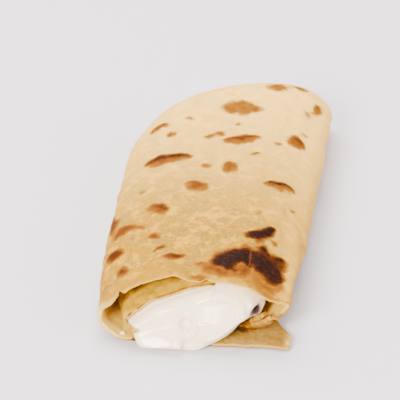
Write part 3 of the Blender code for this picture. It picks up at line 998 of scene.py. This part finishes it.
tornDough = {
    "spacing": 0.35,
    "rowCount": 9,
    "bulge": 0.7,
    "shake": (2, 0.4),  # grain and reach in mm
    # Torn bits at the mouth: two edge lines each, then thickness, toast and whether it is outer skin
    "bits": {
        "tongue": (
            ((-20.6, -56, 8), (-19.6, -57.2, 6.7), (-18.1, -59.8, 7.2), (-16.4, -61.7, 7.5)),
            ((-21, -56, 5), (-20.6, -57.2, 4.2), (-18.9, -59.8, 5.2), (-16.8, -61.7, 6.8)),
            0.7, 0.22, 0,
        ),
        "hemStrip": (
            (
                (13.2, -49.9, 3.9), (14.9, -50.4, 5.4), (17.6, -50.9, 7), (20.4, -51.6, 8.4),
                (23.2, -52.4, 9.2), (25.8, -53.1, 10.2),
            ),
            (
                (13.2, -49.6, 2.5), (15.3, -49.9, 2.1), (18.7, -50.8, 2.8), (21.8, -51.7, 5),
                (24, -52.5, 7.1), (26, -53.2, 9.1),
            ),
            0.6, 0.62, 0.7,
        ),
        "edgeBand": (
            ((16.9, -52.4, 7.5), (18.7, -52.7, 8.6), (20.5, -53, 9.8), (21.9, -53.3, 11.2)),
            ((17.1, -52.4, 6.2), (19, -52.7, 6.9), (20.7, -53, 8.1), (22.1, -53.3, 10.2)),
            0.5, 0.36, 0.9,
        ),
        "curl": (
            ((21, -52.6, 7), (21.5, -53, 8.6), (23.2, -53.2, 9.7)),
            ((21.8, -52.8, 6.2), (22.8, -53.4, 7), (23.9, -53.4, 8.6)),
            0.5, 0.34, 1,
        ),
        "cornerBit": (
            ((23.8, -53.3, 9.4), (24.5, -53.6, 10.6), (25.9, -53.8, 11.2)),
            ((24.4, -53.4, 8), (25.6, -53.7, 8.6), (26.4, -53.8, 9.9)),
            0.5, 0.34, 1,
        ),
    },
}


def makeTornBits():
    made = []
    grain, reach = tornDough["shake"]
    for n, (name, (upper, lower, thickness, toast, skinned)) in enumerate(tornDough["bits"].items()):
        upper, lower = np.array(upper), np.array(lower)
        length = lengthOf(upper)
        count = max(8, round(length / tornDough["spacing"]))
        top, bottom = evenPoints(upper, count), evenPoints(lower, count)
        across = np.linspace(0, 1, tornDough["rowCount"])
        bulge = tornDough["bulge"] * np.sin(np.pi * across)[:, None, None] * (0, -1, 0.3)
        rows = np.array([mix(top, bottom, t) for t in across]) + bulge
        flat = rows.reshape(-1, 3)
        shake = np.column_stack([cloud(flat, grain, 51 + 3 * n + k, 2) for k in range(3)])
        bit, _, _ = gridPiece(name, (flat + reach * shake).reshape(rows.shape))
        addWall(bit, thickness)
        smoother = bit.modifiers.new("round", "SUBSURF")
        smoother.levels = smoother.render_levels = 2
        applyModifiers(bit)
        points = pointsOf(bit)
        centre = (upper.mean(axis=0) + lower.mean(axis=0)) / 2
        away = np.linalg.norm((points - centre) / (length / 2), axis=1)
        worn = 0.4 + 0.6 * smooth(0.5 + cloud(points, 1.6, 61 + n, 2)) * smooth(away)
        marks = {"toast": toast * worn, "char": np.zeros(len(points))}
        addRimMarks(marks, points)
        setAttributes(bit, {**marks, "wrap": skinned, "inner": 0.0, "tail": 0.0, "lip": 0.0, "edge": 0.12})
        made.append(bit)
    activate(*made)
    bpy.ops.object.join()
    made[0].name = "tornDough"
    return made[0]


chapati = makeChapati()
tearCorner(chapati)
bakeMarks(chapati)
finishPiece(chapati, doughMaterial())
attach(chapati, "root")
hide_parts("chapati")

torn = makeTornBits()
finishPiece(torn, chapati.data.materials[0])
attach(torn, "root")
print("torn bits:", len(torn.data.vertices), "points")

cream = {
    "bite": 0.1,  # mm that it presses into the dough round it
    "spacing": 0.62,
    "joinCells": 5,
    "sideCells": 16,
    "roofShare": 5 / 6,
    "rightReach": 3.4,
    "end": 0.8,
    "firstRing": 0.35,
    "ringGrowth": 1.25,
    "ringSpacing": 2.2,
    "faceRings": 46,
    "faceEasing": 1.15,
    "apronCells": (3, 6, 5, 3),
    "centre": (1.5, 9.6),
    "roundness": 2.6,
    "least": 1.9,  # the rim's smallest setback
    "rightRim": 6.4,  # its setback at the lower right
    "inset": 1.8,
    "gap": 1,
    "gapFrom": -24,
    "gapTo": 8,
    "gapDepth": 4,
    "hair": 0.01,
    "softRows": 24,
    "softPasses": 5,
    "lean": (-63.2, 0.58, 4.2),  # the face's y at z 0, its slope, and the height below which it is upright
    "drop": {  # on the lowest layer's rim at the left
        "place": (-21.4, -55.7, 1.95),
        "radius": 0.8,
        "shape": (1.1, 0.9, 0.7),
        "lumps": (1.2, 0.16),  # grain and height in mm
    },
    "apron": {
        "top": 9,
        "fade": 3,
        "left": -18.5,
        "right": 16,
        "rightFade": 2.5,
        # brow of the overhang: x, y, z, and how far the foot and the mouth's front stand behind it
        "brow": (
            (-17, -60.9, 1.15, 3), (1, -61.3, 1.15, 3.4), (3.2, -60.5, 1.3, 2.6), (4.4, -59.8, 2.4, 1.9),
            (7.2, -58.2, 2.8, 1.7), (11.2, -55.6, 4.1, 1.8), (14, -54.2, 6.4, 1.2), (16.8, -53.2, 8.2, 0.8),
        ),
        "footShare": 0.8,
        "lift": 0.3,
        "browLift": 1.1,
    },
    # soft forms on the face, by x and z
    "face": {
        "underEdge": ((0.6, -4), (3.1, 1.5), (7.3, 4.2), (11.4, 7), (13.9, 9), (17.4, 11)),
        "underSlope": 1.75,
        "ridge": ((3, 16.9), (7, 16), (10.1, 15.7), (11.8, 15.5), (14, 14.9), (15.2, 13.6), (15.8, 11.6)),
        "ridgeMiddle": (6, 9.5),
        "ridgeFall": 1.4,
        "ridgeRise": 1.25,
        "plateEdge": ((-19, 4.2), (-14.4, 5.2), (-12.3, 5.6), (-9.7, 6.4), (-6.3, 7.2), (-4.2, 7)),
        "plateSlope": 0.6,
        "plateSide": ((-7, -4.2), (-5.2, -3.6), (-3.8, -2.6), (-1, -2.3)),  # -z and x of its right side
        "dent": (-2, 7.7, 2.4, 1.9),
        "dentRing": (3.3, 0.7),
        "hole": (18.7, 10.6, 1.05, 3.2),
        # soft lumps and hollows: x, z, half width, half height, rise
        "lumps": (
            (21, 13.6, 1.6, 0.9, 1.3), (19.8, 15.3, 1.3, 0.45, -1.6), (17.6, 13.2, 0.9, 1.6, 0.7),
            (4, 8.5, 1.9, 0.5, 0.35), (-3.2, 3.6, 0.7, 1.7, 0.5), (-1, 3.4, 1.1, 2.2, -0.45),
            (-10.5, 5, 2.2, 0.6, 0.4), (-6, 12, 4, 2, 0.3), (9, 9.5, 4, 2.4, 0.35), (-13, 9, 3, 1.2, 0.3),
            (3, 13, 3.5, 1.4, -0.25),
        ),
    },
}


def creamOutline(line, cells):
    # closed outline of the cream, pressed a little into every layer round it
    line = beside(middleLine(line, cells), roll["thickness"] / 2 - cream["bite"])
    inner = line[knotColumn("hemTop", cells) : knotColumn("flap", cells) + 1]
    crown = knotColumn("crown", cells)
    roofCells = round(cells[knotNames.index("crown")] * cream["roofShare"])
    roof = line[crown : crown + roofCells + 1]
    join = mix(inner[-1], roof[0], np.linspace(0, 1, cream["joinCells"] + 1)[1:-1, None])
    start, end = Vector((*roof[-1], 0)), Vector((*inner[0], 0))
    downRight = Vector((*(roof[-1] - roof[-2]), 0)).normalized() * cream["rightReach"]
    left = Vector((*(inner[1] - inner[0]), 0)).normalized() * cream["rightReach"]
    side = bezierPoints(start, start + downRight, end - left, end, cream["sideCells"])
    return np.concatenate([inner, join, roof, side[1:-1]])


def lineHeight(line, x):
    return np.interp(x, *np.transpose(line))


def softLarger(a, b, width):
    return (a + b + np.sqrt((a - b) ** 2 + width**2)) / 2


def beyondRidge(x, z):
    # mm past the ridge at the upper right, measured from the face's middle
    cx, cz = cream["face"]["ridgeMiddle"]
    ridge = np.array(cream["face"]["ridge"]) - (cx, cz)
    angles, reaches = np.arctan2(ridge[:, 1], ridge[:, 0])[::-1], np.hypot(*ridge.T)[::-1]
    angle = np.arctan2(z - cz, x - cx)
    past = np.hypot(x - cx, z - cz) - np.interp(angle, angles, reaches)
    inside = smooth((angle - angles[0] + 0.45) / 0.4) * smooth((angles[-1] + 0.1 - angle) / 0.8)
    return past, inside


def faceDepth(x, z):
    # y of the cream's face
    face = cream["face"]
    base, slope, upright = cream["lean"]
    depth = base + slope * softLarger(z, upright, 1)
    # the facet at the lower left lies further forward
    below = np.clip(lineHeight(face["plateEdge"], x) - z, 0, 4)
    plateX = lineHeight(face["plateSide"], -z)
    depth = depth - face["plateSlope"] * below * smooth(plateX - x + 0.5)
    # the upper right falls back behind a ridge
    past, inside = beyondRidge(x, z)
    depth = depth + inside * face["ridgeFall"] * softLarger(past, 0, 0.7)
    depth = depth - inside * face["ridgeRise"] * hill((past + 0.5) / 0.75)
    dentX, dentZ, size, deep = face["dent"]
    fromDent = np.hypot(x - dentX, z - dentZ)
    depth = depth + deep * smooth((size - fromDent) / 1.3)
    ring, rise = face["dentRing"]
    depth = depth - rise * smooth((x - dentX) / 2) * hill((fromDent - ring) / 0.45)
    holeX, holeZ, size, deep = face["hole"]
    depth = depth + deep * smooth((size * 1.5 - np.hypot(x - holeX, z - holeZ)) / size)
    for lumpX, lumpZ, wide, high, rise in face["lumps"]:
        depth = depth - rise * hill(np.hypot((x - lumpX) / wide, (z - lumpZ) / high))
    # the lower right edge turns under
    edge = lineHeight(face["underEdge"], x)
    under = base + slope * np.maximum(edge, upright) + face["underSlope"] * (edge - z)
    return softLarger(depth, under, 0.9)


def apronRows(mouth, apron):
    # from the mouth's rim out past the lowest layer's edge, down, and forward
    shape, (x, y, z) = cream["apron"], mouth.T
    browX, *values = np.transpose(shape["brow"])
    browY, browZ, reach = (np.interp(x, browX, value) for value in values)
    out = mix(y - 0.3, browY + reach, smooth(4 * apron))
    low = browZ - shape["browLift"]
    hung = mix(z, low + shape["lift"], apron)
    foot = out - apron * reach * shape["footShare"], mix(hung, low, apron)
    brow = foot[0] - apron * reach * (1 - shape["footShare"]), foot[1] + apron * shape["browLift"]
    return [np.column_stack([x, *row]) for row in ((out, z), (out, hung), foot, brow)]


def tunnelRows(cut, body, rim, shut):
    # the cream inside the roll, from its far end to the mouth's rim
    length, first, growth = cream["end"] * rollLength, cream["firstRing"], cream["ringGrowth"]
    steps = growingSteps(length, first, growth, lambda along: cream["ringSpacing"])
    fractions = steps[::-1] / steps[-1] * cream["end"]
    rows = np.array([laid(cut, body, rim, fraction) for fraction in fractions])
    out = outwards(np.concatenate([rows[:, -2:], rows, rows[:, :2]], axis=1))[:, 2:-2]
    rows = swollen(rows, out)
    # a narrow gap under the flap and beside the inner turn
    behindRim = fractions / cream["end"] * steps[-1]
    gap = smooth(1 - behindRim / cream["gapDepth"])[:, None] * shut
    return list(rows - gap[..., None] * (out[-1] * cream["gap"]))


def faceRows(brow):
    # rings from the brow to the face's middle, rounded at their start
    centre = np.array([cream["centre"][0], 0, cream["centre"][1]])
    radius = np.hypot(brow[:, 0] - centre[0], brow[:, 2] - centre[2])
    rows = []
    for j in range(1, cream["faceRings"] + 1):
        t = (j / cream["faceRings"]) ** cream["faceEasing"]
        ring = mix(brow, centre, t)
        turn = np.clip(t * radius / cream["roundness"], 0, 1)
        ring[:, 1] = mix(brow[:, 1], faceDepth(ring[:, 0], ring[:, 2]), np.sqrt(turn * (2 - turn)))
        rows.append(ring)
    return rows


def makeCream():
    cells = legCells(cream["spacing"], cream["spacing"])
    cut, body = creamOutline(atCut, cells), creamOutline(inBody, cells)
    x, z = cut[:, 0], cut[:, 1]
    shape = cream["apron"]
    low = smooth((shape["top"] - z) / shape["fade"])
    apron = low * smooth((x - shape["left"]) / shape["fade"])
    apron *= smooth((shape["right"] - x) / shape["rightFade"])
    rim = np.maximum(cream["least"], faceDepth(x, z) - roll["cutY"] + cream["inset"])
    rim = mix(rim, cream["rightRim"], low * smooth((x - 8) / 8))
    shut = smooth((x - cream["gapFrom"]) / 2) * smooth((cream["gapTo"] - x) / 9) * (1 - low)
    rows = tunnelRows(cut, body, rim, shut)
    mouthRow = len(rows) - 1
    for target, count in zip(apronRows(rows[-1], apron), cream["apronCells"]):
        first = rows[-1]
        rows += [mix(first, target, j / count) for j in range(1, count + 1)]
    # these rows meet where nothing slumps, so each stands a hair in front of the last
    for j in range(mouthRow + 1, len(rows)):
        rows[j] = rows[j] - (0, cream["hair"] * (j - mouthRow), 0)
    rows = np.array(rows + faceRows(rows[-1]))
    last = mouthRow + cream["softRows"]
    for _ in range(cream["softPasses"]):
        near = rows[mouthRow : last + 2]
        soft = (np.roll(near, 1, axis=1) + np.roll(near, -1, axis=1)) / 4 + near / 2
        soft[1:-1] = (soft[:-2] + soft[2:]) / 4 + soft[1:-1] / 2
        rows[mouthRow + 1 : last + 1] = soft[1:-1]
    closed = np.concatenate([rows, rows[:, :1]], axis=1)
    back = np.repeat([closed[0].mean(axis=0)[None]], closed.shape[1], axis=1)
    piece, _, _ = gridPiece("creamFilling", np.concatenate([back, closed]))
    sealPiece(piece)
    points = pointsOf(piece)
    # painted shade: the cream round the torn hole is marked to be coloured dark brown
    holeX, holeZ, holeSize, _ = cream["face"]["hole"]
    fromHole = np.hypot((points[:, 0] - holeX) / 1.1, points[:, 2] - holeZ)
    paintedHoleShade = smooth(1.85 - fromHole / holeSize) * smooth((roll["cutY"] + 12 - points[:, 1]) / 2)
    setAttributes(piece, {"paintedHoleShade": paintedHoleShade})
    print("cream:", len(piece.data.vertices), "points")
    return piece


def makeDrop():
    shape = cream["drop"]
    bpy.ops.mesh.primitive_ico_sphere_add(subdivisions=3, radius=shape["radius"], scale=shape["shape"])
    drop = bpy.context.active_object
    bpy.ops.object.transform_apply(scale=True)
    points = pointsOf(drop)
    grain, height = shape["lumps"]
    movePoints(drop, points * (1 + height * cloud(points, grain, 71, 2))[:, None] + shape["place"])
    return drop


def creamMaterial():
    # thick dairy cream: near white, light scatters inside it, and its surface is smooth and a little wet
    surface = {
        "IOR": 1.42,
        "Specular IOR Level": 0.62,
        "Subsurface Weight": 0.4,
        "Subsurface Radius": (1, 0.8, 0.55),
        "Subsurface Scale": mm,
    }
    made = newMaterial("thick dairy cream", surface)
    tree = made.node_tree
    # painted shade: inside the hole torn at the right the cream is coloured dark brown, for the shade and the
    # dough seen deep in it
    paintedHoleShade = addNode(tree, "Attribute", {"attribute_name": "paintedHoleShade"}, "Fac")
    shade = addNode(tree, "Mix", {"data_type": "RGBA", 0: paintedHoleShade, 6: "f6e0bc", 7: "341400"}, 2)
    dull = addNode(tree, "MapRange", {"Value": paintedHoleShade, "To Min": 0.21, "To Max": 0.8})
    setNode(tree, tree.nodes["Principled BSDF"], {"Base Color": shade, "Roughness": dull})
    return made


filling = makeCream()
activate(filling, makeDrop())
bpy.ops.object.join()
finishPiece(filling, creamMaterial())
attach(filling, "root")
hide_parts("filling")
